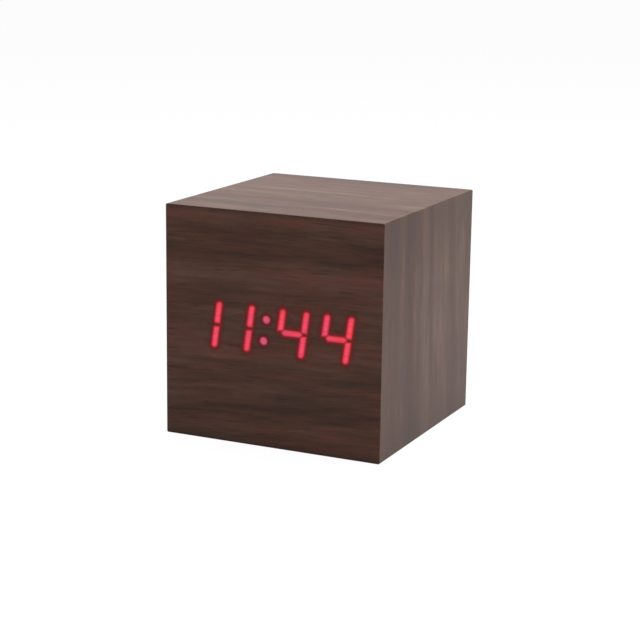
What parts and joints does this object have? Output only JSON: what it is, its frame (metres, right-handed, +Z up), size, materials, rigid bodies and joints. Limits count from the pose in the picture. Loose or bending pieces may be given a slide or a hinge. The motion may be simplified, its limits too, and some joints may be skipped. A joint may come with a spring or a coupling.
{
  "type": "cube alarm clock",
  "caption": "Wooden cube alarm clock: a plain dark wood-grain box that shows the time in red digits through its front, with battery door, buttons and power socket behind.",
  "frame": {"origin": "under the middle of the base, on the surface that the clock stands on", "axes": "+X to the right as seen from the front, +Y from the front to the back, +Z up"},
  "size_m": [0.062, 0.062, 0.062],
  "materials": {
    "wood_film": "dark walnut-grain film, satin",
    "lit_red": "film lit from behind in red",
    "block_wood": "bare softwood",
    "black_abs": "fine-textured moulding",
    "button_plastic": "smooth moulding",
    "diffuser_plastic": "milky moulding",
    "circuit_board": "green solder mask",
    "lamp_chip": "pale resin",
    "bright_steel": "nickel plated",
    "black_steel": "blackened",
    "chip_resin": "black resin",
    "capacitor_sleeve": "shrunk sleeve",
    "buzzer_plastic": "smooth moulding",
    "bead_resin": "dipped resin",
    "ribbon_pvc": "grey PVC",
    "plug_nylon": "natural nylon",
    "cell_sleeve": "plain coloured sleeve",
    "red_pvc": "red PVC",
    "black_pvc": "black PVC",
    "switch_plastic": "smooth moulding",
    "plunger_plastic": "smooth moulding",
    "socket_plastic": "smooth moulding",
    "pin_brass": "plated"
  },
  "bodies": {
    "case": {"front_board": "wood_film", "top_board": "wood_film", "right_board": "wood_film", "bottom_board": "wood_film", "left_board": "wood_film", "front_film": "wood_film", "lit_digit_segments": "lit_red", "lit_colon_dots": "lit_red", "corner_blocks": "block_wood", "rear_cover": "black_abs", "digit_reflector": "black_abs", "light_guides": "diffuser_plastic", "display_pcb": "circuit_board", "key_pcb": "circuit_board", "segment_leds": "lamp_chip", "display_screws": "bright_steel", "key_pcb_screws": "bright_steel", "contact_springs": "bright_steel", "contact_bridges": "bright_steel", "terminal_contacts": "bright_steel", "quartz_crystal": "bright_steel", "microphone": "bright_steel", "cover_screws": "black_steel", "controller_chip": "chip_resin", "driver_chip": "chip_resin", "reservoir_capacitor": "capacitor_sleeve", "alarm_buzzer": "buzzer_plastic", "thermistor": "bead_resin", "ribbon_cable": "ribbon_pvc", "ribbon_plugs": "plug_nylon", "battery_cells": "cell_sleeve", "positive_lead": "red_pvc", "negative_lead": "black_pvc", "tact_switches": "switch_plastic", "dc_jack": "socket_plastic", "dc_jack_pin": "pin_brass"},
    "battery_door": {"battery_door": "black_abs"},
    "set_button": {"set_button": "button_plastic", "set_plunger": "plunger_plastic"},
    "up_button": {"up_button": "button_plastic", "up_plunger": "plunger_plastic"},
    "down_button": {"down_button": "button_plastic", "down_plunger": "plunger_plastic"}
  },
  "joints": [
    {"name": "battery_door_hinge", "type": "hinge", "parent": "case", "child": "battery_door", "pos_m": [0, 0.029, 0.01295], "axis": [-1, 0, 0], "range_deg": [0, 90]},
    {"name": "set_button_press", "type": "slide", "parent": "case", "child": "set_button", "axis": [0, -1, 0], "range_m": [0, 0.0005], "stiffness_N_per_m": 1200, "springref_m": -0.0005},
    {"name": "up_button_press", "type": "slide", "parent": "case", "child": "up_button", "axis": [0, -1, 0], "range_m": [0, 0.0005], "stiffness_N_per_m": 1200, "springref_m": -0.0005},
    {"name": "down_button_press", "type": "slide", "parent": "case", "child": "down_button", "axis": [0, -1, 0], "range_m": [0, 0.0005], "stiffness_N_per_m": 1200, "springref_m": -0.0005}
  ]
}
